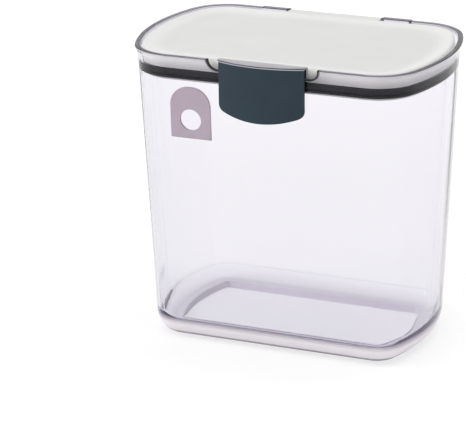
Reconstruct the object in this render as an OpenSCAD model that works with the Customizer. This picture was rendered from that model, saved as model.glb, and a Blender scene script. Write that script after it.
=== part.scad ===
// Clear storage bin with a flip lid: a drafted bin with a flared rim, a dished lid on two
// hinge pins, a two-lip seal and a front latch that swings up on its own pin.
// X runs across the bin, the latch faces -Y and the hinge +Y, and the foot stands on Z = 0.

/* [Bin] */
// Height of the bin to the top of its rim
body_h = 195; // [160:1:210]
// Width across the rim lip
rim_w = 205.2; // [180:0.1:260]
// Depth across the rim lip
rim_d = 130.3; // [118:0.1:170]
// Outside corner radius of the rim lip
rim_corner_r = 31; // [29:0.5:36]
// Draft of the walls, in degrees from upright
draft = 2.8; // [1.5:0.05:3]
// Wall thickness
wall = 2.4; // [1.8:0.1:2.8]
// How far the lip stands out beyond the wall
lip_out = 1.6; // [1:0.1:2]
// Radius of the cove under the lip
cove_r = 18; // [12:0.5:19]
// Distance from the top of the rim down to where the cove starts
cove_drop = 8.5; // [8.5:0.1:11]
// Thickness of the lip at its top
lip_t = 3.6; // [3.2:0.1:3.8]
// Rounding of the lip's two top edges
lip_edge_r = 0.8; // [0.4:0.1:1]
// Outside radius between wall and foot
foot_r = 14; // [8:0.5:14.5]
// Width of the ring that the bin stands on
foot_land = 2.2; // [1.5:0.1:2.8]
// Height of the inside floor above the table
floor_h = 7.5; // [6:0.5:12]
// Floor thickness
floor_t = 2.6; // [2:0.1:3.4]
// Inside radius between wall and floor
floor_r = 11; // [6:0.5:12]

/* [Front notch and catch] */
// Width of the rim notch that the latch passes through
notch_w = 73; // [66:0.5:90]
// Depth of the notch below the rim
notch_depth = 7; // [6.6:0.1:7.4]
// Radius of the notch's lower corners
notch_r = 6.5; // [4:0.5:7.5]
// Width of the catch rib below the notch
catch_w = 34; // [20:1:44]
// Height of the catch rib
catch_h = 3; // [2:0.1:4]
// How far the catch rib stands out from the wall
catch_out = 1.6; // [1.2:0.1:2]
// Distance from the top of the rim down to the catch rib's lower face
catch_drop = 16; // [14:0.5:18]

/* [Hinge] */
// Distance of the hinge pins' axis behind the rim lip
hinge_set = 2.85; // [2.4:0.05:3.6]
// Distance of the hinge pins' axis below the top of the rim
hinge_drop = 4; // [3.6:0.1:4.6]
// Outside radius of the bin's two hinge barrels
barrel_r = 3.4; // [3:0.1:3.8]
// Length of each hinge barrel
barrel_w = 18.5; // [14:0.5:26]
// How far the web under each barrel reaches down the wall, from the pins' axis
barrel_web_h = 10.2; // [8:0.2:14]
// Radius of the rear notch's lower corners
rear_notch_r = 2; // [1:0.5:3]
// Width of the lid's tongue between the barrels
tongue_w = 65; // [44:1:72]
// Step from the lid's raised edge down to the root of the tongue
tongue_step = 0.1; // [0:0.1:0.4]
// Outside radius of the tongue's knuckle
knuckle_r = 2.7; // [2.3:0.1:3]
// Side gap between the tongue and each barrel
hinge_side_gap = 0.5; // [0.3:0.1:1]
// Diameter of the hinge pins
hinge_pin_d = 2; // [1.6:0.1:2.4]
// How far each hinge pin reaches into the tongue
hinge_pin_reach = 7; // [4:0.5:12]

/* [Lid] */
// Distance from the top of the rim down to the lid's raised edge
lid_drop = 0.6; // [0.3:0.1:1.2]
// Gap between the lid's skirt and the inside of the wall
lid_gap = 1.2; // [1:0.1:1.6]
// Depth of the dished centre below the raised edge
dish_depth = 2; // [1:0.1:2.6]
// Width of the slope between the raised edge and the flat centre
dish_w = 18; // [10:0.5:24]
// Thickness of the lid's top at the centre
lid_t = 2.2; // [1.6:0.1:3]
// Rounding of the lid's top edge
lid_edge_r = 1.6; // [0.8:0.1:2]
// How far the lid's top edge stands out beyond the foot of its skirt
lid_flare = 0.2; // [0:0.1:0.8]
// Height of the skirt from the raised edge to the seal
skirt_h = 8.6; // [7.6:0.1:9.2]
// Skirt thickness
skirt_t = 2; // [1.5:0.1:2.4]
// Thickness of the liner's floor and wall
liner_t = 1.8; // [1.2:0.1:2.4]
// Thickness of the liner's flange under the seal
flange_t = 1.4; // [1:0.1:2]
// How far the flange reaches out under the seal
flange_w = 2.1; // [1.4:0.1:2.4]
// Chamfer on the flange's lower edge
flange_chamfer = 0.5; // [0.2:0.1:0.8]

/* [Seal] */
// Height of the seal
seal_h = 6.5; // [5.5:0.1:8]
// Depth of the seal from its lips to the liner's wall
seal_t = 3.3; // [2.6:0.1:4]
// Gap between the seal's lips and the wall
seal_gap = 0.5; // [0.5:0.05:0.9]
// Depth of the groove between the two lips
seal_groove = 1.1; // [0.6:0.1:1.6]
// Height of the groove between the two lips
groove_w = 0.6; // [0.4:0.1:1]
// Height of the lower lip
lower_lip_h = 1.8; // [1.5:0.1:2.4]
// Slope at the tips of the lips
lip_chamfer = 0.6; // [0.3:0.1:0.8]

/* [Latch] */
// Width of the clear latch frame
latch_w = 58; // [50:0.5:62]
// Width of the latch cover
cover_w = 56.6; // [48:0.5:60]
// Distance of the cover's front in front of the rim lip
latch_out = 5.85; // [5.4:0.05:8]
// Radius of the cover's front face, seen from above
cover_r = 78; // [72:1:120]
// Thickness of the cover
cover_t = 1.8; // [1.4:0.1:2.2]
// Height of the latch's top above the rim
latch_rise = 1.2; // [1:0.1:1.6]
// Distance from the top of the rim down to the lowest point of the cover
latch_h = 36.1; // [32:0.1:46]
// Radius of the cover's lower edge, seen from the front
cover_bottom_r = 75; // [50:1:150]
// Radius of the cover's two lower corners
cover_corner_r = 5; // [3:0.5:8]
// Thickness of the latch frame's top and back
frame_t = 1.2; // [1:0.1:1.4]
// Thickness of the frame's back plate
frame_back_t = 2; // [1.4:0.1:2.4]
// Width of the frame's back plate
frame_back_w = 50; // [42:0.5:50]
// Distance from the top of the rim down to the lowest point of the back plate
frame_back_h = 28; // [25:0.5:30]
// Gap between the latch and the bin's wall at the foot of the notch
frame_wall_gap = 1; // [0.8:0.1:1.4]
// Radius of the frame's rounded back, about the latch pin
latch_barrel_r = 3.6; // [3.4:0.05:3.8]
// Angle above level at which the frame's rounded back ends
latch_back_angle = 48; // [46:1:60]
// Gap between the frame's rounded back and the lid
latch_gap = 0.35; // [0.3:0.05:0.6]
// Thickness of the frame's two cheeks beside the lid's boss
cheek_t = 8; // [7.6:0.1:10]
// How deep the latch pin reaches into each cheek
latch_pin_reach = 4; // [2:0.1:5]
// Diameter of the latch pin
latch_pin_d = 2; // [1.6:0.1:2.2]
// Width of the hook at the back of the frame
hook_w = 36; // [20:1:44]
// Height of the hook
hook_h = 4; // [3:0.1:5]

/* [Frosted plate] */
// Width of the arch-topped plate on the inside of the front wall
plate_w = 27.2; // [20:0.2:34]
// Height of the plate
plate_h = 34; // [30:0.5:50]
// Thickness of the plate
plate_t = 1.6; // [1:0.1:2.4]
// Radius of the plate's two upper corners
plate_r = 12.5; // [9:0.5:13.5]
// Distance from the bin's middle to the middle of the plate
plate_x = 50.3; // [46:0.1:58]
// Distance from the top of the rim down to the top of the plate
plate_drop = 20.6; // [20:0.1:50]
// Diameter of the round window in the plate
window_d = 14; // [8:0.5:18]
// Distance from the top of the plate down to the middle of the window
window_drop = 21.6; // [18:0.1:24]

/* [Fits] */
// Radial running clearance of a pin in a moving part
run_clear = 0.05; // [0.02:0.01:0.09]
// Radial clearance of a pin in the part that holds it
hold_clear = 0.02; // [0.01:0.01:0.05]
// Clearance between neighbouring parts that must not touch
clear = 0.3; // [0.3:0.05:0.5]
// Glue film between parts that are bonded on a curved face
glue_gap = 0.1; // [0.05:0.05:0.15]

/* [Hidden] */
$fn = 96;
arc_steps = 10;
past = 1;

// Every ring of the bin and lid is a profile (s, z) swept round one path: a rounded
// rectangle with bowed short ends. The path joins the four corner centres, s is the distance
// out from it and z the height above the table.
// A bowed end turns by bow_angle to either side, an angle whose sine and cosine are short
// decimals, so that the end and the corner meet on exactly one plane.
// The path's radius there is rounded to a tenth for the same reason.
bow_rise = 44;
bow_run = 117;
bow_angle = atan2(bow_rise, bow_run);
tenths = 10;
end_path_r = round(tenths * (rim_d / 2 - rim_corner_r) / sin(bow_angle)) / tenths;
end_x = rim_w / 2 - rim_corner_r - end_path_r;
corner_x = end_x + end_path_r * cos(bow_angle);
corner_y = end_path_r * sin(bow_angle);
rim_y = corner_y + rim_corner_r;
lean = tan(draft);
function wall_s(z) = rim_corner_r - lip_out - (body_h - z) * lean;
function inside_s(z) = wall_s(z) - wall / cos(draft);

// Points along an arc about c from angle a0 to angle a1
function arc(c, r, a0, a1, steps = arc_steps) =
    [for (i = [0:steps]) c + r * [cos(a0 + (a1 - a0) * i / steps), sin(a0 + (a1 - a0) * i / steps)]];

// Cove under the lip, tangent to the outside of the wall
cove_z = body_h - cove_drop;
cove_c = [wall_s(cove_z) + cove_r * cos(draft), cove_z - cove_r * sin(draft)];
cove_end = acos((rim_corner_r - cove_c[0]) / cove_r);
function cove_s(z) = cove_c[0] - sqrt(pow(cove_r, 2) - pow(z - cove_c[1], 2));
mouth_s = rim_corner_r - lip_t;
flare_r = cove_r + wall;
flare_end = acos((mouth_s - cove_c[0]) / flare_r);

// Rounds at the foot and at the floor
foot_c = [wall_s(foot_r) - foot_r / cos(draft), foot_r];
floor_c = [inside_s(floor_h + floor_r) - floor_r / cos(draft), floor_h + floor_r];

// Lid heights and outlines
lid_z = body_h - lid_drop;
dish_z = lid_z - dish_depth;
skirt_z = lid_z - skirt_h;
lid_s = inside_s(skirt_z) - lid_gap;
lid_edge_s = lid_s + lid_flare;
dish_r = (dish_w * dish_w + dish_depth * dish_depth) / (2 * dish_depth);
dish_slope = asin(dish_w / dish_r);
dish_end_s = lid_edge_s - lid_edge_r * (1 + sin(dish_slope));
dish_start_s = dish_end_s - dish_w;
crest_c = [dish_end_s, lid_z] + lid_edge_r * [sin(dish_slope), -cos(dish_slope)];
lid_under_z = dish_z - lid_t;

// Seal between the skirt and the liner's flange
seal_z = skirt_z - seal_h;
seal_in_s = inside_s(seal_z) - seal_gap - seal_t;
liner_z = seal_z - flange_t;

// Hinge pin axis and latch pin axis
hinge_y = rim_y + hinge_set;
hinge_z = body_h - hinge_drop;
tongue_end = tongue_w / 2;
barrel_x = tongue_end + hinge_side_gap;
rear_notch_z = hinge_z - knuckle_r - past;
notch_z = body_h - notch_depth;
lid_front = corner_y + lid_edge_s;
latch_top = body_h + latch_rise;
latch_y = -(lid_front + latch_gap + latch_barrel_r);
latch_z = latch_top - latch_barrel_r;
boss_r = latch_barrel_r - frame_t - clear;
neck_front_angle = 35;
neck_back_angle = 30;
boss_w = latch_w - 2 * cheek_t - 2 * clear;
latch_pin_w = latch_w - 2 * cheek_t + 2 * latch_pin_reach;
latch_front = -(rim_y + latch_out);
cover_top = latch_top - frame_t;
catch_z = body_h - catch_drop;
catch_front = -(corner_y + wall_s(catch_z) + catch_out);
latch_back_y = -(corner_y + cove_s(notch_z) + frame_wall_gap);
tip_share = 0.4;
plate_top = body_h - plate_drop;

// A quarter of the sweep round the path, at +X and +Y
module swept_quarter() {
    translate([0, corner_y, 0])
        rotate([90, 0, 90])
            linear_extrude(corner_x) children();
    // half of the bowed end, cut off at Y = 0
    intersection() {
        translate([end_x, 0, 0])
            rotate([0, 0, bow_angle])
                rotate_extrude(angle = 2 * bow_angle, start = -2 * bow_angle, $fn = 4 * $fn)
                    translate([end_path_r, 0]) children();
        translate([0, 0, -past]) cube([rim_w, rim_d, 2 * body_h]);
    }
    // corner, cut off at its centre
    intersection() {
        translate([end_x, 0, 0])
            rotate([0, 0, bow_angle])
                translate([end_path_r, 0, 0])
                    rotate_extrude(angle = 90) children();
        translate([corner_x, 0, -past]) cube([rim_w, rim_d, 2 * body_h]);
    }
}

// Sweeps a profile round the path of the bin, without its middle
module swept() {
    for (back = [0, 1])
        for (left = [0, 1])
            mirror([left, 0, 0]) mirror([0, back, 0]) swept_quarter() children();
}

// Flat slab inside the path, from z0 up to z1
module middle(z0, z1) {
    translate([0, 0, z0])
        linear_extrude(z1 - z0) {
            square([2 * corner_x, 2 * corner_y], center = true);
            for (left = [0, 1])
                mirror([left, 0, 0])
                    intersection() {
                        translate([end_x, 0]) circle(r = end_path_r, $fn = 4 * $fn);
                        translate([0, -corner_y]) square([rim_w / 2, 2 * corner_y]);
                    }
        }
}

// Extrudes a (y, z) outline along X, centred on x, over the width w
module across(x, w) {
    translate([x - w / 2, 0, 0])
        rotate([90, 0, 90])
            linear_extrude(w) children();
}

// Extrudes an (x, z) outline along Y from y0 to y1
module through(y0, y1) {
    translate([0, y1, 0])
        rotate([90, 0, 0])
            linear_extrude(y1 - y0) children();
}

// U-shaped cut, open at the top, with rounded lower corners
module notch_outline(w, z0, r) {
    polygon(concat(
        [[w / 2, body_h + past], [-w / 2, body_h + past]],
        arc([-w / 2 + r, z0 + r], r, 180, 270),
        arc([w / 2 - r, z0 + r], r, 270, 360)
    ));
}

module body_profile() {
    polygon(concat(
        [[0, floor_h - floor_t], [foot_c[0] - foot_land, floor_h - floor_t], [foot_c[0] - foot_land, 0]],
        arc(foot_c, foot_r, -90, -draft),
        arc(cove_c, cove_r, 180 - draft, cove_end),
        arc([rim_corner_r - lip_edge_r, body_h - lip_edge_r], lip_edge_r, 0, 90, 4),
        arc([mouth_s + lip_edge_r, body_h - lip_edge_r], lip_edge_r, 90, 180, 4),
        arc(cove_c, flare_r, flare_end, 180 - draft),
        arc(floor_c, floor_r, -draft, -90),
        [[0, floor_h]]
    ));
}

// Barrel for one hinge pin, webbed to the wall and lip
module hinge_barrel_outline() {
    web_y = corner_y + wall_s(hinge_z) - wall / 2;
    lip_y = rim_y - lip_t / 2;
    difference() {
        union() {
            translate([hinge_y, hinge_z]) circle(r = barrel_r);
            polygon([
                [web_y, hinge_z - barrel_web_h],
                [hinge_y, hinge_z - barrel_r],
                [hinge_y, hinge_z + barrel_r],
                [lip_y, hinge_z + barrel_r],
                [web_y, cove_z]
            ]);
        }
        translate([hinge_y, hinge_z]) circle(r = hinge_pin_d / 2 + hold_clear);
    }
}

// Rib that the latch's hook snaps under, sloped on top
module catch_outline() {
    root_y = -(corner_y + wall_s(catch_z) - wall / 2);
    polygon([
        [root_y, catch_z],
        [catch_front, catch_z],
        [catch_front, catch_z + tip_share * catch_h],
        [root_y, catch_z + catch_h]
    ]);
}

module container_body() {
    color("aliceblue", 0.4) {
        difference() {
            union() {
                swept() body_profile();
                middle(floor_h - floor_t, floor_h);
            }
            through(-(rim_y + past), -(corner_y + inside_s(notch_z) - past))
                notch_outline(notch_w, notch_z, notch_r);
            through(corner_y + inside_s(rear_notch_z) - past, rim_y + past)
                notch_outline(2 * barrel_x, rear_notch_z, rear_notch_r);
        }
        for (side = [-1, 1])
            across(side * (barrel_x + barrel_w / 2), barrel_w) hinge_barrel_outline();
        across(0, catch_w) catch_outline();
    }
}

module plate_outline() {
    difference() {
        polygon(concat(
            [[-plate_w / 2, -plate_h], [plate_w / 2, -plate_h]],
            arc([plate_w / 2 - plate_r, -plate_r], plate_r, 0, 90),
            arc([-plate_w / 2 + plate_r, -plate_r], plate_r, 90, 180)
        ));
        translate([0, -window_drop]) circle(d = window_d);
    }
}

// Frosted arch with a round window, bonded to the inside of the front wall
module frosted_plate() {
    low_z = plate_top - plate_h;
    low_s = inside_s(low_z) - glue_gap;
    high_s = inside_s(plate_top) - glue_gap;
    color("thistle", 0.7)
        intersection() {
            swept() polygon([
                [low_s - plate_t, low_z], [low_s, low_z], [high_s, plate_top], [high_s - plate_t, plate_top]
            ]);
            translate([-plate_x, 0, plate_top])
                through(-rim_y, -corner_y) plate_outline();
        }
}

// Pin from inside the tongue to the outer end of a barrel
module hinge_pin(side) {
    color("silver")
        translate([side * (tongue_end - hinge_pin_reach), hinge_y, hinge_z])
            rotate([0, side * 90, 0])
                cylinder(d = hinge_pin_d, h = hinge_pin_reach + hinge_side_gap + barrel_w);
}

module hinge_pin_left() {
    hinge_pin(-1);
}

module hinge_pin_right() {
    hinge_pin(1);
}

// Dished top with a rounded raised edge and a skirt
module lid_profile() {
    polygon(concat(
        [[0, lid_under_z], [lid_s - skirt_t, lid_under_z], [lid_s - skirt_t, skirt_z], [lid_s, skirt_z]],
        arc(crest_c, lid_edge_r, 0, 90 + dish_slope, 6),
        arc([dish_start_s, dish_z + dish_r], dish_r, -90 + dish_slope, -90),
        [[0, dish_z]]
    ));
}

// Tongue from the lid's rear edge to the hinge pins
module tongue_outline() {
    root_y = lid_front - skirt_t / 2;
    translate([hinge_y, hinge_z]) circle(r = knuckle_r);
    polygon([
        [root_y, lid_under_z],
        [hinge_y, hinge_z - knuckle_r],
        [hinge_y, hinge_z + knuckle_r],
        [root_y, lid_z - tongue_step]
    ]);
}

// Boss on the lid's front that holds the latch pin, with its neck below the frame's swing
module boss_outline() {
    root_y = -(lid_front - skirt_t / 2);
    neck_low = notch_z + 2 * clear;
    neck_far = latch_barrel_r + latch_gap;
    neck_high = latch_z - neck_far * tan(neck_back_angle);
    translate([latch_y, latch_z]) circle(r = boss_r);
    polygon([
        [latch_y, latch_z],
        [latch_y - boss_r * sin(neck_front_angle), latch_z - boss_r * cos(neck_front_angle)],
        [latch_y + boss_r, neck_low],
        [root_y, neck_low],
        [root_y, neck_high],
        [latch_y + neck_far, neck_high]
    ]);
}

module lid_panel() {
    color("whitesmoke")
        difference() {
            union() {
                swept() lid_profile();
                middle(lid_under_z, dish_z);
                across(0, tongue_w) tongue_outline();
                across(0, boss_w) boss_outline();
            }
            for (side = [-1, 1])
                translate([side * (tongue_end - hinge_pin_reach - past), hinge_y, hinge_z])
                    rotate([0, side * 90, 0])
                        cylinder(d = hinge_pin_d + 2 * run_clear, h = hinge_pin_reach + 2 * past);
            translate([-latch_w / 2, latch_y, latch_z])
                rotate([0, 90, 0])
                    cylinder(d = latch_pin_d + 2 * hold_clear, h = latch_w);
        }
}

// Tray that closes the lid from below and holds the seal against the skirt
module lid_liner() {
    flange_s = seal_in_s + flange_w;
    color("gainsboro") {
        swept() polygon([
            [0, liner_z],
            [flange_s - flange_chamfer, liner_z], [flange_s, liner_z + flange_chamfer], [flange_s, seal_z],
            [seal_in_s, seal_z], [seal_in_s, lid_under_z],
            [seal_in_s - liner_t, lid_under_z], [seal_in_s - liner_t, liner_z + liner_t],
            [0, liner_z + liner_t]
        ]);
        middle(liner_z, liner_z + liner_t);
    }
}

// Soft ring whose two lips follow the wall, with a groove between them
module lid_seal() {
    root_s = seal_in_s + seal_t - seal_groove;
    split_z = seal_z + lower_lip_h;
    groove_z = split_z + groove_w;
    function lip(z) = [inside_s(z) - seal_gap, z];
    color("dimgray")
        swept() polygon([
            [seal_in_s, seal_z],
            [root_s, seal_z],
            lip(seal_z + lip_chamfer),
            lip(split_z - lip_chamfer / 2),
            [root_s, split_z],
            [root_s, groove_z],
            lip(groove_z + lip_chamfer / 2),
            lip(skirt_z - lip_chamfer),
            [root_s, skirt_z],
            [seal_in_s, skirt_z]
        ]);
}

module latch_pin() {
    color("silver")
        translate([-latch_pin_w / 2, latch_y, latch_z])
            rotate([0, 90, 0])
                cylinder(d = latch_pin_d, h = latch_pin_w);
}

// Outline of a latch plate seen from the front, reaching down by h from the top of the rim
module latch_outline(w, h) {
    z_low = body_h - h;
    half = w / 2;
    edge_c = [0, z_low + cover_bottom_r];
    corner_in = cover_bottom_r - cover_corner_r;
    corner_c = [half - cover_corner_r, edge_c[1] - sqrt(pow(corner_in, 2) - pow(half - cover_corner_r, 2))];
    turn = acos(corner_c[0] / corner_in);
    polygon(concat(
        arc([-corner_c[0], corner_c[1]], cover_corner_r, 180, 180 + turn, 5),
        arc(edge_c, cover_bottom_r, 180 + turn, 360 - turn, 2 * arc_steps),
        arc(corner_c, cover_corner_r, 360 - turn, 360, 5),
        [[half, latch_top], [-half, latch_top]]
    ));
}

// Plan of a plate behind the latch's curved front, from depth d0 to depth d1
module curved_plan(w, d0, d1) {
    intersection() {
        translate([0, latch_front + cover_r])
            difference() {
                circle(r = cover_r - d0, $fn = 240);
                circle(r = cover_r - d1, $fn = 240);
            }
        translate([-w / 2, latch_front - past]) square([w, cover_r / 2]);
    }
}

// Everything of the latch frame seen along X: the rounded back, the top and the cheeks
module cheek_outline() {
    translate([latch_y, latch_z]) circle(r = latch_barrel_r);
    translate([latch_front, latch_z - latch_barrel_r])
        square([latch_y - latch_front, 2 * latch_barrel_r]);
}

module latch_frame() {
    in_r = latch_barrel_r - frame_t;
    gap_w = boss_w + 2 * clear;
    low_z = body_h - frame_back_h;
    seat_t = cover_t + glue_gap;
    seat_front = latch_front + seat_t;
    far = 2 * latch_barrel_r;
    color("lavender", 0.6)
        difference() {
            union() {
                // rounded back, top and cheeks, trimmed by the curved front
                intersection() {
                    across(0, latch_w) cheek_outline();
                    translate([0, 0, low_z])
                        linear_extrude(latch_top + past - low_z)
                            translate([0, latch_front + cover_r]) circle(r = cover_r, $fn = 240);
                }
                // back plate, short of the cover's lower edge so that fingertips reach behind it
                intersection() {
                    translate([0, 0, low_z])
                        linear_extrude(cover_top - low_z)
                            curved_plan(frame_back_w, seat_t, seat_t + frame_back_t);
                    through(latch_front - past, latch_back_y) latch_outline(latch_w, frame_back_h);
                }
                // hook under the catch rib
                across(0, hook_w) polygon([
                    [seat_front + frame_back_t / 2, catch_z - clear],
                    [catch_front - clear, catch_z - clear],
                    [catch_front - clear, catch_z - clear - tip_share * hook_h],
                    [seat_front + frame_back_t / 2, catch_z - clear - hook_h]
                ]);
            }
            // seat of the cover
            translate([0, 0, low_z - past])
                linear_extrude(cover_top - low_z + past)
                    curved_plan(latch_w + 2 * past, -past, seat_t);
            // room for the boss, its neck and the lid's edge
            across(0, gap_w) {
                translate([latch_y, latch_z]) circle(r = in_r);
                polygon([
                    [latch_y, latch_z],
                    [latch_y + far, latch_z + far * tan(latch_back_angle)],
                    [latch_y + far, latch_z - far],
                    [latch_y - in_r * sin(neck_front_angle), latch_z - far],
                    [latch_y - in_r * sin(neck_front_angle), latch_z - in_r * cos(neck_front_angle)]
                ]);
            }
            translate([-latch_pin_w / 2 - run_clear, latch_y, latch_z])
                rotate([0, 90, 0])
                    cylinder(d = latch_pin_d + 2 * run_clear, h = latch_pin_w + 2 * run_clear);
        }
}

module latch_cover() {
    low_z = body_h - latch_h;
    color("darkslategray")
        intersection() {
            translate([0, 0, low_z])
                linear_extrude(cover_top - glue_gap - low_z)
                    curved_plan(cover_w, 0, cover_t);
            through(latch_front - past, latch_back_y) latch_outline(cover_w, latch_h);
        }
}

container_body();
frosted_plate();
hinge_pin_left();
hinge_pin_right();
lid_panel();
lid_liner();
lid_seal();
latch_pin();
latch_frame();
latch_cover();
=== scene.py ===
import math
import bpy
from mathutils import Matrix, Vector


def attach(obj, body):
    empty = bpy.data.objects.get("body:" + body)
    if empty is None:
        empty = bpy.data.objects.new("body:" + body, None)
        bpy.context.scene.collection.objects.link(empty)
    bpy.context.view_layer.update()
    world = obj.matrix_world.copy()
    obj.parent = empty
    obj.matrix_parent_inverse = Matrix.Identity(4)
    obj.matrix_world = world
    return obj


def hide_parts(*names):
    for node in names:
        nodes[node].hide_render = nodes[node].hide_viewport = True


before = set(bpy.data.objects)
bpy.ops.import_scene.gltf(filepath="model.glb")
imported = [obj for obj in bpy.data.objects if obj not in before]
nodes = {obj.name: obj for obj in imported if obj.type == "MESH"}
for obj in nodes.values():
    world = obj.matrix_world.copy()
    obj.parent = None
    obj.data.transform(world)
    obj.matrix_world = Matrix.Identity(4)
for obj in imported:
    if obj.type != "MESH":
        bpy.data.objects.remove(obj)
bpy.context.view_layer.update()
mm = 0.001
mergeGap = 0.002 * mm     # points nearer to each other than this become one
flatAngle = 0.4           # degrees, up to which neighbouring faces become one flat face
smoothAngle = 32          # degrees, past which an edge stays crisp
faceWeight = 80           # how far large faces lead the shading of their rounded edges
noiseMiddle = (0.3, 0.7)  # nearly all values of a fractal noise lie between these
print("frame loaded with %d CAD nodes" % len(nodes))


# Shared modelling steps. Every piece starts as a joined copy of its solid.

def selectOnly(piece):
    bpy.ops.object.select_all(action="DESELECT")
    piece.select_set(True)
    bpy.context.view_layer.objects.active = piece


def joinedCopy(nodeName, pieceName):
    # the solid's loose triangles become one skin with whole flat faces
    piece = bpy.data.objects.new(pieceName, nodes[nodeName].data.copy())
    bpy.context.scene.collection.objects.link(piece)
    piece.data.materials.clear()
    selectOnly(piece)
    bpy.ops.object.mode_set(mode="EDIT")
    bpy.ops.mesh.select_all(action="SELECT")
    bpy.ops.mesh.customdata_custom_splitnormals_clear()
    bpy.ops.mesh.remove_doubles(threshold=mergeGap)
    bpy.ops.mesh.dissolve_limited(angle_limit=math.radians(flatAngle))
    bpy.ops.object.mode_set(mode="OBJECT")
    return piece


def applyModifier(piece, kind, **settings):
    selectOnly(piece)
    bpy.ops.object.modifier_add(type=kind)
    modifier = piece.modifiers[-1]
    for setting, value in settings.items():
        setattr(modifier, setting, value)
    bpy.ops.object.modifier_apply(modifier=modifier.name)


def softCopy(nodeName, pieceName, user):
    # the joined copy with rounded edges and smooth shading
    piece = joinedCopy(nodeName, pieceName)
    applyModifier(
        piece, "BEVEL", width=user["edge"], segments=user["segments"],
        limit_method="ANGLE", angle_limit=math.radians(user["sharpAngle"]),
        miter_outer="MITER_ARC", use_clamp_overlap=True,
    )
    selectOnly(piece)
    bpy.ops.object.shade_smooth_by_angle(angle=math.radians(smoothAngle))
    applyModifier(piece, "WEIGHTED_NORMAL", keep_sharp=True, weight=faceWeight)
    return piece


def finishPiece(piece, nodeName, body, material):
    piece.data.materials.append(material)
    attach(piece, body)
    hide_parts(nodeName)


# Shared shader steps

def newMaterial(name):
    material = bpy.data.materials.new(name)
    material.use_nodes = True
    tree = material.node_tree
    return material, tree, tree.nodes["Principled BSDF"]


def addNoise(tree, scale, detail, stretch=(1, 1, 1)):
    # fractal noise on the piece's own coordinates, scale in repeats per metre
    place = tree.nodes.new("ShaderNodeTexCoord")
    mapping = tree.nodes.new("ShaderNodeMapping")
    mapping.inputs["Scale"].default_value = stretch
    noise = tree.nodes.new("ShaderNodeTexNoise")
    noise.inputs["Scale"].default_value = scale
    noise.inputs["Detail"].default_value = detail
    tree.links.new(place.outputs["Object"], mapping.inputs["Vector"])
    tree.links.new(mapping.outputs["Vector"], noise.inputs["Vector"])
    return noise.outputs["Fac"]


def addRange(tree, value, low, high):
    # spreads the middle of a noise over the range low to high
    spread = tree.nodes.new("ShaderNodeMapRange")
    spread.inputs["From Min"].default_value, spread.inputs["From Max"].default_value = noiseMiddle
    spread.inputs["To Min"].default_value = low
    spread.inputs["To Max"].default_value = high
    tree.links.new(value, spread.inputs["Value"])
    return spread.outputs["Result"]


def addMottle(tree, value, dark, light):
    # colour that drifts between two close shades
    ramp = tree.nodes.new("ShaderNodeValToRGB")
    for stop, position, colour in zip(ramp.color_ramp.elements, noiseMiddle, (dark, light)):
        stop.position = position
        stop.color = (*colour, 1)
    tree.links.new(value, ramp.inputs["Fac"])
    return ramp.outputs["Color"]


def shaded(colour, factor):
    return tuple(channel * factor for channel in colour)


def addPart(tree, source, axis):
    # one part of the piece's own coordinates or of its surface direction
    place = tree.nodes.new("ShaderNodeTexCoord")
    split = tree.nodes.new("ShaderNodeSeparateXYZ")
    tree.links.new(place.outputs[source], split.inputs["Vector"])
    return split.outputs[axis]


def addFade(tree, value, start, end):
    # rises softly from 0 at start to 1 at end
    fade = tree.nodes.new("ShaderNodeMapRange")
    fade.interpolation_type = "SMOOTHSTEP"
    fade.inputs["From Min"].default_value = start
    fade.inputs["From Max"].default_value = end
    tree.links.new(value, fade.inputs["Value"])
    return fade.outputs["Result"]


def addMath(tree, operation, first, second=0):
    # first and second may each be a socket or a number
    step = tree.nodes.new("ShaderNodeMath")
    step.operation = operation
    for socket, term in zip(step.inputs, (first, second)):
        if isinstance(term, (int, float)):
            socket.default_value = term
        else:
            tree.links.new(term, socket)
    return step.outputs["Value"]


def addProduct(tree, *factors):
    product = factors[0]
    for factor in factors[1:]:
        product = addMath(tree, "MULTIPLY", product, factor)
    return product


def addBlend(tree, amount, first, second):
    # colour that goes from first to second, each a socket or a colour
    blend = tree.nodes.new("ShaderNodeMix")
    blend.data_type = "RGBA"
    tree.links.new(amount, blend.inputs["Factor"])
    for socket, colour in ((blend.inputs[6], first), (blend.inputs[7], second)):
        if isinstance(colour, tuple):
            socket.default_value = (*colour, 1)
        else:
            tree.links.new(colour, socket)
    return blend.outputs[2]


def addBump(tree, shader, height, distance):
    bump = tree.nodes.new("ShaderNodeBump")
    bump.inputs["Strength"].default_value = 1
    bump.inputs["Distance"].default_value = distance
    tree.links.new(height, bump.inputs["Height"])
    tree.links.new(bump.outputs["Normal"], shader.inputs["Normal"])


def addCoat(tree, amount, coat):
    # where amount is 1, the coat's shader takes the place of the surface so far
    surface = tree.get_output_node("ALL").inputs["Surface"]
    mix = tree.nodes.new("ShaderNodeMixShader")
    tree.links.new(amount, mix.inputs["Fac"])
    tree.links.new(surface.links[0].from_socket, mix.inputs[1])
    tree.links.new(coat.outputs[0], mix.inputs[2])
    tree.links.new(mix.outputs["Shader"], surface)


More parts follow.
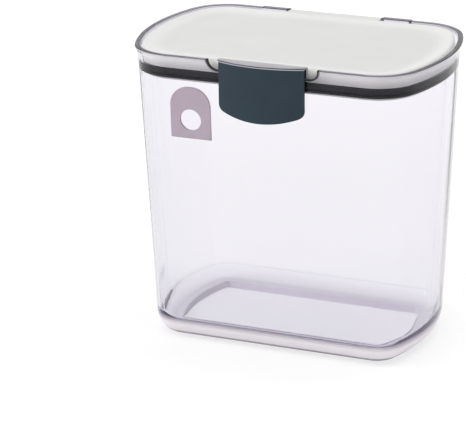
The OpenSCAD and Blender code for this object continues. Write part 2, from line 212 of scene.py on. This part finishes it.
def makeClear(name, user):
    # clear moulded plastic: faint waviness, light scuffs and a lavender depth colour
    material, tree, shader = newMaterial(name)
    shader.inputs["Base Color"].default_value = (1, 1, 1, 1)
    shader.inputs["Transmission Weight"].default_value = 1
    shader.inputs["IOR"].default_value = user["ior"]
    shader.inputs["Specular Tint"].default_value = (*user["gloss"], 1)
    scuffs = addNoise(tree, *user["scuffs"])
    roughness = addRange(tree, scuffs, user["roughLow"], user["roughHigh"])
    tree.links.new(roughness, shader.inputs["Roughness"])
    addBump(tree, shader, addNoise(tree, *user["wave"]), user["waveDepth"])
    depth = tree.nodes.new("ShaderNodeVolumeAbsorption")
    depth.inputs["Color"].default_value = (*user["depthColour"], 1)
    depth.inputs["Density"].default_value = user["depthDensity"]
    tree.links.new(depth.outputs["Volume"], tree.get_output_node("ALL").inputs["Volume"])
    thinShadow = tree.nodes.new("ShaderNodeBsdfTransparent")
    thinShadow.inputs["Color"].default_value = (*user["shadowTint"], 1)
    rays = tree.nodes.new("ShaderNodeLightPath")
    addCoat(tree, rays.outputs["Is Shadow Ray"], thinShadow)
    return material, tree, shader


# Noises are given as (repeats per metre, detail, stretch) and fades as (start, end).

binUser = {
    "edge": 0.18 * mm,
    "segments": 2,
    "sharpAngle": 50,
    "ior": 1.46,
    "gloss": (0.35, 0.35, 0.37),
    "roughLow": 0.015,
    "roughHigh": 0.06,
    "scuffs": (90, 6, (1, 1, 0.25)),
    "wave": (35, 1),
    "waveDepth": 0.02 * mm,
    "depthColour": (0.66, 0.63, 0.74),
    "depthDensity": 95,
    "shadowTint": (0.93, 0.925, 0.94),
    "sealLow": (179.3 * mm, 179.6 * mm),      # heights between which the seal's lips lie
    "sealHigh": (185.8 * mm, 185.5 * mm),
    "sealSide": (0, 0.01),
    "rimLow": (187.0 * mm, 187.5 * mm),       # cut edges above this height get painted dark shade
    "rimFacing": (0.25, 0.5),
    "rimPaintedShade": (0.12, 0.10, 0.15),
    "cutReach": (37.0 * mm, 36.5 * mm),       # the notch's ends lie within this of the middle
    "cutFacing": (0.45, 0.7),
    # painted shade: a dark sheet laid over the notch's cut sides and rounded outline
    "cutShade": (0.04, 0.035, 0.05),
    "cutDark": 0.75,
    "notchHalf": 36.5 * mm,
    "notchFloor": 188.0 * mm,
    "notchRound": 6.5 * mm,
    "notchShadeLine": (1.2 * mm, 0.6 * mm),
    "notchFront": (-50 * mm, -55 * mm),
    "footHigh": (15.0 * mm, 9.5 * mm),        # the foot is milky below these heights
    "footFacing": (0.10, 0.0),
    "underFacing": (-0.98, -0.92),
    # painted shade along the foot's lowest band, where it meets the floor
    "paintedContactShadeFacing": (-0.62, -0.8),
    "paintedContactShade": (0.42, 0.37, 0.42),
    "milk": (1.0, 0.955, 0.99),
    "milkDrift": 0.98,
    "milkCloud": (60, 3),
    "milky": 0.94,
}


def addSealContact(tree):
    # the soft lips lie on the wall's inner face: from within the plastic, nothing shines there
    place = tree.nodes.new("ShaderNodeTexCoord")
    side = tree.nodes.new("ShaderNodeVectorMath")
    side.operation = "DOT_PRODUCT"
    tree.links.new(place.outputs["Normal"], side.inputs[0])
    tree.links.new(place.outputs["Object"], side.inputs[1])
    face = tree.nodes.new("ShaderNodeNewGeometry")
    height = addPart(tree, "Object", "Z")
    above = addFade(tree, height, *binUser["sealLow"])
    below = addFade(tree, height, *binUser["sealHigh"])
    outwards = addFade(tree, side.outputs["Value"], *binUser["sealSide"])
    touching = addProduct(tree, above, below, face.outputs["Backfacing"], outwards)
    addCoat(tree, touching, tree.nodes.new("ShaderNodeBsdfTransparent"))


def addNotchShadeLine(tree, across, height):
    # 1 along the notch's rounded outline, where painted shade goes, 0 away from it
    corner = binUser["notchRound"]
    beside = addMath(tree, "SUBTRACT", across, binUser["notchHalf"] - corner)
    below = addMath(tree, "SUBTRACT", binUser["notchFloor"] + corner, height)
    beside, below = (addMath(tree, "MAXIMUM", step, 0) for step in (beside, below))
    square = addMath(tree, "ADD", addProduct(tree, beside, beside), addProduct(tree, below, below))
    away = addMath(tree, "SUBTRACT", addMath(tree, "SQRT", square), corner)
    front = addFade(tree, addPart(tree, "Object", "Y"), *binUser["notchFront"])
    return addProduct(tree, addFade(tree, away, *binUser["notchShadeLine"]), front)


def makeWall():
    # the bin's clear plastic, with painted dark shade on its rim and cut edges, milky in its thick
    # foot, and painted shade along the foot's lowest band
    material, tree, shader = makeClear("clearWall", binUser)
    addSealContact(tree)
    height, upward = addPart(tree, "Object", "Z"), addPart(tree, "Normal", "Z")
    sideways = addMath(tree, "ABSOLUTE", addPart(tree, "Normal", "X"))
    across = addMath(tree, "ABSOLUTE", addPart(tree, "Object", "X"))

    # painted shade: the rim's top face and the notch's cut sides are tinted dark
    high = addFade(tree, height, *binUser["rimLow"])
    inNotch = addFade(tree, across, *binUser["cutReach"])
    cutSide = addProduct(tree, addFade(tree, sideways, *binUser["cutFacing"]), inNotch)
    edge = addMath(tree, "MAXIMUM", addFade(tree, upward, *binUser["rimFacing"]), cutSide)
    rimShadeAmount = addProduct(tree, edge, high)
    tint = addBlend(tree, rimShadeAmount, (1, 1, 1), binUser["rimPaintedShade"])
    tree.links.new(tint, shader.inputs["Base Color"])

    # painted shade: a dark diffuse sheet over the notch's cut sides and rounded outline, so its
    # ends stand dark against the lid
    shade = tree.nodes.new("ShaderNodeBsdfDiffuse")
    shade.inputs["Color"].default_value = (*binUser["cutShade"], 1)
    notchShadeLine = addNotchShadeLine(tree, across, height)
    dark = addMath(tree, "MAXIMUM", notchShadeLine, addProduct(tree, cutSide, high))
    addCoat(tree, addProduct(tree, dark, binUser["cutDark"]), shade)

    low = addFade(tree, height, *binUser["footHigh"])
    outside = addFade(tree, upward, *binUser["footFacing"])
    notUnder = addFade(tree, upward, *binUser["underFacing"])
    # painted shade: the foot's lowest, downward-facing band is darkened
    paintedContactShade = addProduct(tree, addFade(tree, upward, *binUser["paintedContactShadeFacing"]), notUnder)
    pale = shaded(binUser["milk"], binUser["milkDrift"])
    cloudy = addMottle(tree, addNoise(tree, *binUser["milkCloud"]), pale, binUser["milk"])
    milk = tree.nodes.new("ShaderNodeBsdfDiffuse")
    tree.links.new(addBlend(tree, paintedContactShade, cloudy, binUser["paintedContactShade"]), milk.inputs["Color"])
    addCoat(tree, addProduct(tree, outside, notUnder, low, binUser["milky"]), milk)
    return material


def buildBin():
    piece = softCopy("container_body", "clearBin", binUser)
    finishPiece(piece, "container_body", "container", makeWall())
    print("clear bin: %d faces" % len(piece.data.polygons))


plateUser = {
    "edge": 0.35 * mm,
    "segments": 3,
    "sharpAngle": 40,
    "dark": (0.74, 0.62, 0.69),
    "light": (0.80, 0.68, 0.75),
    "cloud": (120, 4),
    "transmission": 0.55,
    "ior": 1.49,
    "roughness": 0.42,
    "grain": (2600, 2),
    "grainDepth": 0.02 * mm,
}


def makeFrosted():
    # milky plate with an etched, finely grained face
    material, tree, shader = newMaterial("frostedPlastic")
    cloud = addNoise(tree, *plateUser["cloud"])
    colour = addMottle(tree, cloud, plateUser["dark"], plateUser["light"])
    tree.links.new(colour, shader.inputs["Base Color"])
    shader.inputs["Transmission Weight"].default_value = plateUser["transmission"]
    shader.inputs["Roughness"].default_value = plateUser["roughness"]
    shader.inputs["IOR"].default_value = plateUser["ior"]
    addBump(tree, shader, addNoise(tree, *plateUser["grain"]), plateUser["grainDepth"])
    return material


def buildPlate():
    piece = softCopy("frosted_plate", "frostedArch", plateUser)
    finishPiece(piece, "frosted_plate", "container", makeFrosted())
    print("frosted arch: %d faces" % len(piece.data.polygons))


lidUser = {
    "edge": 0.25 * mm,
    "segments": 3,
    "sharpAngle": 40,
    "dark": (0.62, 0.62, 0.61),
    "light": (0.66, 0.66, 0.65),
    "cloud": (40, 4),
    "slopePaintedLight": 1.13,                        # painted light: the dished border is this much lighter
    "paintedLightSlopeFacing": (0.9995, 0.985),
    "skirtFacing": (0.5, 0.1),
    # painted light and shade: the skirt runs from lighter at its top to darker towards the seal
    "skirtHeight": (193.4 * mm, 185.4 * mm),
    "skirtPaintedLight": (0.98, 0.97, 0.94),
    "skirtPaintedShade": (0.56, 0.55, 0.53),
    "gloss": 0.35,
    "roughLow": 0.34,
    "roughHigh": 0.46,
    "grain": (3200, 2),
    "grainDepth": 0.012 * mm,
}


def makeLidWhite():
    # white satin plastic with a fine moulded grain, painted lighter on its dished border and
    # painted darker down its skirt
    material, tree, shader = newMaterial("lidWhite")
    cloud = addNoise(tree, *lidUser["cloud"])
    centre = addMottle(tree, cloud, lidUser["dark"], lidUser["light"])
    # painted light: the dished border's slopes get a lighter copy of the mottle
    paintedLightFactor = lidUser["slopePaintedLight"]
    paintedLitBorder = addMottle(tree, cloud, shaded(lidUser["dark"], paintedLightFactor), shaded(lidUser["light"], paintedLightFactor))
    height, upward = addPart(tree, "Object", "Z"), addPart(tree, "Normal", "Z")
    top = addBlend(tree, addFade(tree, upward, *lidUser["paintedLightSlopeFacing"]), centre, paintedLitBorder)
    # painted shade: the skirt darkens from its top down towards the seal
    lower = addFade(tree, height, *lidUser["skirtHeight"])
    skirt = addBlend(tree, lower, lidUser["skirtPaintedLight"], lidUser["skirtPaintedShade"])
    colour = addBlend(tree, addFade(tree, upward, *lidUser["skirtFacing"]), top, skirt)
    tree.links.new(colour, shader.inputs["Base Color"])
    roughness = addRange(tree, cloud, lidUser["roughLow"], lidUser["roughHigh"])
    tree.links.new(roughness, shader.inputs["Roughness"])
    shader.inputs["Specular IOR Level"].default_value = lidUser["gloss"]
    addBump(tree, shader, addNoise(tree, *lidUser["grain"]), lidUser["grainDepth"])
    return material


def buildLid():
    piece = softCopy("lid_panel", "lidTop", lidUser)
    finishPiece(piece, "lid_panel", "lid", makeLidWhite())
    print("lid: %d faces" % len(piece.data.polygons))


trayUser = {
    "edge": 0.25 * mm,
    "segments": 3,
    "sharpAngle": 40,
    "dark": (0.62, 0.62, 0.61),
    "light": (0.68, 0.68, 0.67),
    "cloud": (30, 5),
    "roughness": 0.5,
    "grain": (1800, 2),
    "grainDepth": 0.015 * mm,
}


def makeTrayWhite():
    # the tray below the lid is a duller white than the top
    material, tree, shader = newMaterial("linerWhite")
    cloud = addNoise(tree, *trayUser["cloud"])
    colour = addMottle(tree, cloud, trayUser["dark"], trayUser["light"])
    tree.links.new(colour, shader.inputs["Base Color"])
    shader.inputs["Roughness"].default_value = trayUser["roughness"]
    addBump(tree, shader, addNoise(tree, *trayUser["grain"]), trayUser["grainDepth"])
    return material


def buildTray():
    piece = softCopy("lid_liner", "lidTray", trayUser)
    finishPiece(piece, "lid_liner", "lid", makeTrayWhite())
    print("tray: %d faces" % len(piece.data.polygons))


sealUser = {
    "edge": 0.2 * mm,
    "segments": 3,
    "sharpAngle": 25,
    "dark": (0.012, 0.012, 0.014),
    "light": (0.020, 0.020, 0.023),
    "cloud": (150, 5),
    "gloss": 0.35,
    "roughLow": 0.5,
    "roughHigh": 0.7,
    "grain": (2200, 3),
    "grainDepth": 0.02 * mm,
}


def makeSealRubber():
    # charcoal silicone, matt, with a little dust in its grain
    material, tree, shader = newMaterial("sealRubber")
    cloud = addNoise(tree, *sealUser["cloud"])
    colour = addMottle(tree, cloud, sealUser["dark"], sealUser["light"])
    tree.links.new(colour, shader.inputs["Base Color"])
    roughness = addRange(tree, cloud, sealUser["roughLow"], sealUser["roughHigh"])
    tree.links.new(roughness, shader.inputs["Roughness"])
    shader.inputs["Specular IOR Level"].default_value = sealUser["gloss"]
    addBump(tree, shader, addNoise(tree, *sealUser["grain"]), sealUser["grainDepth"])
    return material


def buildSeal():
    piece = softCopy("lid_seal", "sealRing", sealUser)
    finishPiece(piece, "lid_seal", "lid", makeSealRubber())
    print("seal: %d faces" % len(piece.data.polygons))


holderUser = {
    "edge": 0.2 * mm,
    "segments": 3,
    "sharpAngle": 40,
    "ior": 1.46,
    "gloss": (0.6, 0.6, 0.6),
    "roughLow": 0.16,
    "roughHigh": 0.24,
    "scuffs": (90, 6, (1, 1, 0.25)),
    "wave": (35, 1),
    "waveDepth": 0.02 * mm,
    "depthColour": (0.66, 0.65, 0.70),
    "depthDensity": 160,
    "shadowTint": (0.80, 0.80, 0.82),
    "haze": (0.60, 0.58, 0.62),
    "hazeDrift": 0.97,
    "hazeCloud": (60, 3),
    "hazy": 0.6,
    "paintedSeamShade": (0.01, 0.01, 0.015),              # painted shade: the dark line of the groove where frame and cover meet
    "paintedSeamShadeHeight": (195.6 * mm, 195.35 * mm),
    "paintedSeamShadeFacing": (-0.5, -0.8),
}


def makeHolderClear():
    # the latch frame is the same plastic as the bin, hazier, with painted shade along the groove
    # above the cover
    material, tree = makeClear("clearLatch", holderUser)[:2]
    # painted shade: the frame's front face is darkened just above the cover
    inPaintedSeamShade = addFade(tree, addPart(tree, "Object", "Z"), *holderUser["paintedSeamShadeHeight"])
    atFront = addFade(tree, addPart(tree, "Normal", "Y"), *holderUser["paintedSeamShadeFacing"])
    paintedSeamShade = addProduct(tree, inPaintedSeamShade, atFront)
    pale = shaded(holderUser["haze"], holderUser["hazeDrift"])
    cloudy = addMottle(tree, addNoise(tree, *holderUser["hazeCloud"]), pale, holderUser["haze"])
    haze = tree.nodes.new("ShaderNodeBsdfDiffuse")
    tree.links.new(addBlend(tree, paintedSeamShade, cloudy, holderUser["paintedSeamShade"]), haze.inputs["Color"])
    addCoat(tree, addMath(tree, "MAXIMUM", paintedSeamShade, holderUser["hazy"]), haze)
    return material


def buildHolder():
    piece = softCopy("latch_frame", "latchHolder", holderUser)
    finishPiece(piece, "latch_frame", "latch", makeHolderClear())
    print("latch frame: %d faces" % len(piece.data.polygons))


coverUser = {
    "edge": 0.45 * mm,
    "segments": 3,
    "sharpAngle": 40,
    "dark": (0.014, 0.030, 0.044),
    "light": (0.020, 0.038, 0.054),
    "cloud": (70, 4),
    "paintedEdgeHighlight": (0.48, 0.51, 0.54),             # painted highlight along the top edge
    "paintedEdgeHighlightHeight": (194.3 * mm, 194.5 * mm),
    "gloss": 0.28,
    "roughLow": 0.40,
    "roughHigh": 0.52,
    "grain": (2800, 2),
    "grainDepth": 0.02 * mm,
}


def makeCoverTeal():
    # blue-grey latch cover with a spark-eroded satin face and a painted highlight along its top
    # edge
    material, tree, shader = newMaterial("coverTeal")
    cloud = addNoise(tree, *coverUser["cloud"])
    face = addMottle(tree, cloud, coverUser["dark"], coverUser["light"])
    # painted highlight: the cover's top edge is lighter
    paintedEdgeHighlight = addFade(tree, addPart(tree, "Object", "Z"), *coverUser["paintedEdgeHighlightHeight"])
    tree.links.new(addBlend(tree, paintedEdgeHighlight, face, coverUser["paintedEdgeHighlight"]), shader.inputs["Base Color"])
    roughness = addRange(tree, cloud, coverUser["roughLow"], coverUser["roughHigh"])
    tree.links.new(roughness, shader.inputs["Roughness"])
    shader.inputs["Specular IOR Level"].default_value = coverUser["gloss"]
    addBump(tree, shader, addNoise(tree, *coverUser["grain"]), coverUser["grainDepth"])
    return material


def buildCover():
    piece = softCopy("latch_cover", "latchFace", coverUser)
    finishPiece(piece, "latch_cover", "latch", makeCoverTeal())
    print("latch cover: %d faces" % len(piece.data.polygons))


pinUser = {
    "edge": 0.2 * mm,
    "segments": 2,
    "sharpAngle": 40,
    "dark": (0.52, 0.52, 0.53),
    "light": (0.62, 0.62, 0.63),
    "streaks": (2500, 3, (0.02, 1, 1)),
    "roughLow": 0.22,
    "roughHigh": 0.38,
    "metallic": 1,
}


def makePinSteel():
    # drawn stainless wire: fine streaks along its length
    material, tree, shader = newMaterial("pinSteel")
    streaks = addNoise(tree, *pinUser["streaks"])
    colour = addMottle(tree, streaks, pinUser["dark"], pinUser["light"])
    tree.links.new(colour, shader.inputs["Base Color"])
    roughness = addRange(tree, streaks, pinUser["roughLow"], pinUser["roughHigh"])
    tree.links.new(roughness, shader.inputs["Roughness"])
    shader.inputs["Metallic"].default_value = pinUser["metallic"]
    return material


def buildPins():
    steel = makePinSteel()
    pins = {
        "hinge_pin_left": ("hingePinLeft", "container"),
        "hinge_pin_right": ("hingePinRight", "container"),
        "latch_pin": ("latchPin", "lid"),
    }
    for nodeName, (pieceName, body) in pins.items():
        piece = softCopy(nodeName, pieceName, pinUser)
        finishPiece(piece, nodeName, body, steel)
    print("pins: %d" % len(pins))


stageUser = {
    "floorSize": 12,
    "floorDrop": 0.2 * mm,
    "floorColour": (0.92, 0.92, 0.92),
    "floorDrift": 0.99,
    "floorFibre": (60, 3),
    "floorGlow": 0.62,       # share of plain white seen in the floor, which lights nothing
    "whiteNear": 1.10,
    "whiteFar": 1.24,
    "skyForLight": 0.66,
    "skySeen": 1,
    "lampAim": (0, 0, 0.1),
    "lamps": {
        "keyLamp": {"place": (-1.4, -0.9, 1.35), "width": 1.0, "watts": 15.0},
        "topLamp": {"place": (0.2, 0.3, 1.9), "width": 1.2, "watts": 8.8},
        "fillLamp": {"place": (1.6, -0.9, 0.8), "width": 1.0, "watts": 1.5},
    },
}


def seenDirectly(tree):
    # 1 for rays from the camera, off gloss or through clear walls, 0 for light that falls on things
    rays = tree.nodes.new("ShaderNodeLightPath")
    glossy, through = rays.outputs["Is Glossy Ray"], rays.outputs["Is Transmission Ray"]
    bent = addMath(tree, "MAXIMUM", glossy, through)
    return addMath(tree, "MAXIMUM", rays.outputs["Is Camera Ray"], bent)


def makeFloorPaper():
    # pale paper that keeps the bin's shadow, under a white that rises with the distance
    material, tree, shader = newMaterial("floorPaper")
    paper = tree.nodes.new("ShaderNodeBsdfDiffuse")
    dark = shaded(stageUser["floorColour"], stageUser["floorDrift"])
    fibre = addNoise(tree, *stageUser["floorFibre"])
    colour = addMottle(tree, fibre, dark, stageUser["floorColour"])
    tree.links.new(colour, paper.inputs["Color"])
    tree.links.new(paper.outputs["BSDF"], tree.get_output_node("ALL").inputs["Surface"])
    tree.nodes.remove(shader)
    place = tree.nodes.new("ShaderNodeTexCoord")
    reach = tree.nodes.new("ShaderNodeVectorMath")
    reach.operation = "LENGTH"
    tree.links.new(place.outputs["Object"], reach.inputs[0])
    white = tree.nodes.new("ShaderNodeEmission")
    level = addRange(tree, reach.outputs["Value"], stageUser["whiteNear"], stageUser["whiteFar"])
    tree.links.new(level, white.inputs["Strength"])
    addCoat(tree, addProduct(tree, seenDirectly(tree), stageUser["floorGlow"]), white)
    return material


def buildFloor():
    bpy.ops.object.select_all(action="DESELECT")
    bpy.ops.mesh.primitive_plane_add(
        size=stageUser["floorSize"], location=(0, 0, -stageUser["floorDrop"]))
    floor = bpy.context.active_object
    floor.name = "floorSheet"
    floor.data.materials.append(makeFloorPaper())
    print("floor: %g m wide" % stageUser["floorSize"])


def buildSky():
    world = bpy.data.worlds.new("studioWorld")
    bpy.context.scene.world = world
    world.use_nodes = True
    tree = world.node_tree
    light, seen = tree.nodes["Background"], tree.nodes.new("ShaderNodeBackground")
    for sky, strength in ((light, stageUser["skyForLight"]), (seen, stageUser["skySeen"])):
        sky.inputs["Color"].default_value = (1, 1, 1, 1)
        sky.inputs["Strength"].default_value = strength
    addCoat(tree, seenDirectly(tree), seen)
    print("sky: %g as light" % stageUser["skyForLight"])


def buildLamps():
    for lampName, user in stageUser["lamps"].items():
        lampData = bpy.data.lights.new(lampName, "AREA")
        lampData.shape = "DISK"
        lampData.size = user["width"]
        lampData.energy = user["watts"]
        lamp = bpy.data.objects.new(lampName, lampData)
        bpy.context.scene.collection.objects.link(lamp)
        lamp.location = user["place"]
        view = Vector(stageUser["lampAim"]) - lamp.location
        lamp.rotation_euler = view.to_track_quat("-Z", "Y").to_euler()
        lamp.visible_glossy = False
    print("lamps: %d" % len(stageUser["lamps"]))


cameraUser = {
    "azimuth": 22.879,
    "elevation": 19.862,
    "roll": -0.8271,
    "distance": 1.619928,
    "toRight": -0.043810,
    "upwards": 0.070713,
    "lens": 189.012,
}


def buildCamera():
    turn, rise = math.radians(cameraUser["azimuth"]), math.radians(cameraUser["elevation"])
    roll = math.radians(cameraUser["roll"])
    back = Vector((
        math.sin(turn) * math.cos(rise), -math.cos(turn) * math.cos(rise), math.sin(rise)))
    right = Vector((math.cos(turn), math.sin(turn), 0))
    up = back.cross(right)
    place = back * cameraUser["distance"]
    place += right * cameraUser["toRight"] + up * cameraUser["upwards"]
    rolledRight = right * math.cos(roll) + up * math.sin(roll)
    rolledUp = up * math.cos(roll) - right * math.sin(roll)
    turned = Matrix((rolledRight, rolledUp, back)).transposed().to_4x4()
    cameraData = bpy.data.cameras.new("studioCamera")
    cameraData.lens = cameraUser["lens"]
    camera = bpy.data.objects.new("studioCamera", cameraData)
    bpy.context.scene.collection.objects.link(camera)
    camera.matrix_world = Matrix.Translation(place) @ turned
    bpy.context.scene.camera = camera
    print("camera: %g mm lens" % cameraUser["lens"])


buildCamera()
buildBin()
buildPlate()
buildLid()
buildTray()
buildSeal()
buildHolder()
buildCover()
buildPins()
buildFloor()
buildSky()
buildLamps()
bpy.context.scene.view_settings.view_transform = "Standard"
